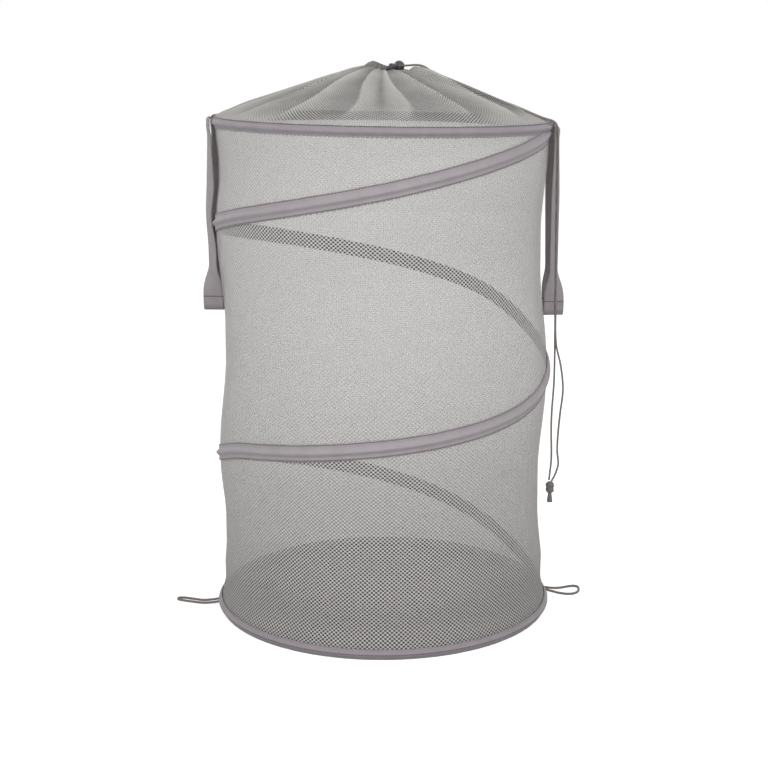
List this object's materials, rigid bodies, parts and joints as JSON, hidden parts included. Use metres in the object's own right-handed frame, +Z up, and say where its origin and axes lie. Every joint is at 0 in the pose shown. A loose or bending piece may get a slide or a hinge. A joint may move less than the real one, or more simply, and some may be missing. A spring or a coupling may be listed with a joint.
{
  "type": "pop-up laundry hamper",
  "caption": "Collapsible mesh cylinder on a coiled spring wire, with strap handles and a drawstring cone cover closed by a cord lock.",
  "frame": {"origin": "middle of the base panel's underside, on the floor", "axes": "+Z up along the cylinder's axis, -Y the front, +X towards the right-hand handle"},
  "size_m": [0.5011, 0.4064, 0.6618],
  "materials": {
    "mesh_fabric": "open knitted mesh, light grey",
    "binding_tape": "woven binding tape, purple grey",
    "base_panel": "plain woven cloth, dark grey",
    "spring_wire": "bright spring steel",
    "crimp_sleeve": "plain",
    "strap_webbing": "woven strap, purple grey",
    "cord": "braided cord, dark grey",
    "tie_tab": "woven tab, dark grey",
    "lock_plastic": "satin moulded plastic, dark grey"
  },
  "bodies": {
    "base": {"base_panel": "base_panel", "wall_mesh": "mesh_fabric", "base_hoop_wire": "spring_wire", "base_crimp_sleeve": "crimp_sleeve", "base_hoop_tape": "binding_tape", "coil_wire": "spring_wire", "coil_tape": "binding_tape", "left_tie_tab": "tie_tab", "left_tie_loop": "cord", "right_tie_tab": "tie_tab", "right_tie_loop": "cord"},
    "rim": {"top_hoop_wire": "spring_wire", "top_crimp_sleeve": "crimp_sleeve", "top_hoop_tape": "binding_tape", "drawstring_cover": "mesh_fabric", "neck_hem": "binding_tape", "neck_cord": "cord", "left_handle_front_end": "strap_webbing", "left_handle_back_end": "strap_webbing", "right_handle_front_end": "strap_webbing", "right_handle_back_end": "strap_webbing", "draw_cord_top_a": "cord", "draw_cord_top_b": "cord", "draw_cord_tail_a": "cord", "draw_cord_tail_b": "cord", "cord_knot": "cord"},
    "cord_lock": {"cord_lock_body": "lock_plastic", "cord_lock_spring": "spring_wire"},
    "cord_lock_button": {"cord_lock_plunger": "lock_plastic"},
    "left_handle": {"left_handle": "strap_webbing"},
    "right_handle": {"right_handle": "strap_webbing"}
  },
  "joints": [
    {"name": "collapse", "type": "slide", "parent": "base", "child": "rim", "axis": [0, 0, 1], "range_m": [-0.555, 0], "stiffness_N_per_m": 40, "springref_m": 0.1, "deforming": ["wall_mesh", "coil_wire", "coil_tape", "draw_cord_tail_a", "draw_cord_tail_b", "cord_knot", "left_handle", "right_handle"]},
    {"name": "left_handle_swing", "type": "hinge", "parent": "rim", "child": "left_handle", "pos_m": [-0.2017, 0, 0.58466], "axis": [0, 1, 0], "range_deg": [0, 135]},
    {"name": "right_handle_swing", "type": "hinge", "parent": "rim", "child": "right_handle", "pos_m": [0.20144, 0, 0.57734], "axis": [0, -1, 0], "range_deg": [0, 135]},
    {"name": "cord_lock_slide", "type": "slide", "parent": "rim", "child": "cord_lock", "axis": [0.765, -0.6419, 0.0523], "range_m": [0, 0.018]},
    {"name": "lock_button_press", "type": "slide", "parent": "cord_lock", "child": "cord_lock_button", "axis": [0.6428, 0.766, 0], "range_m": [0, 0.0008], "stiffness_N_per_m": 60, "springref_m": -0.002, "deforming": ["cord_lock_spring"]}
  ]
}
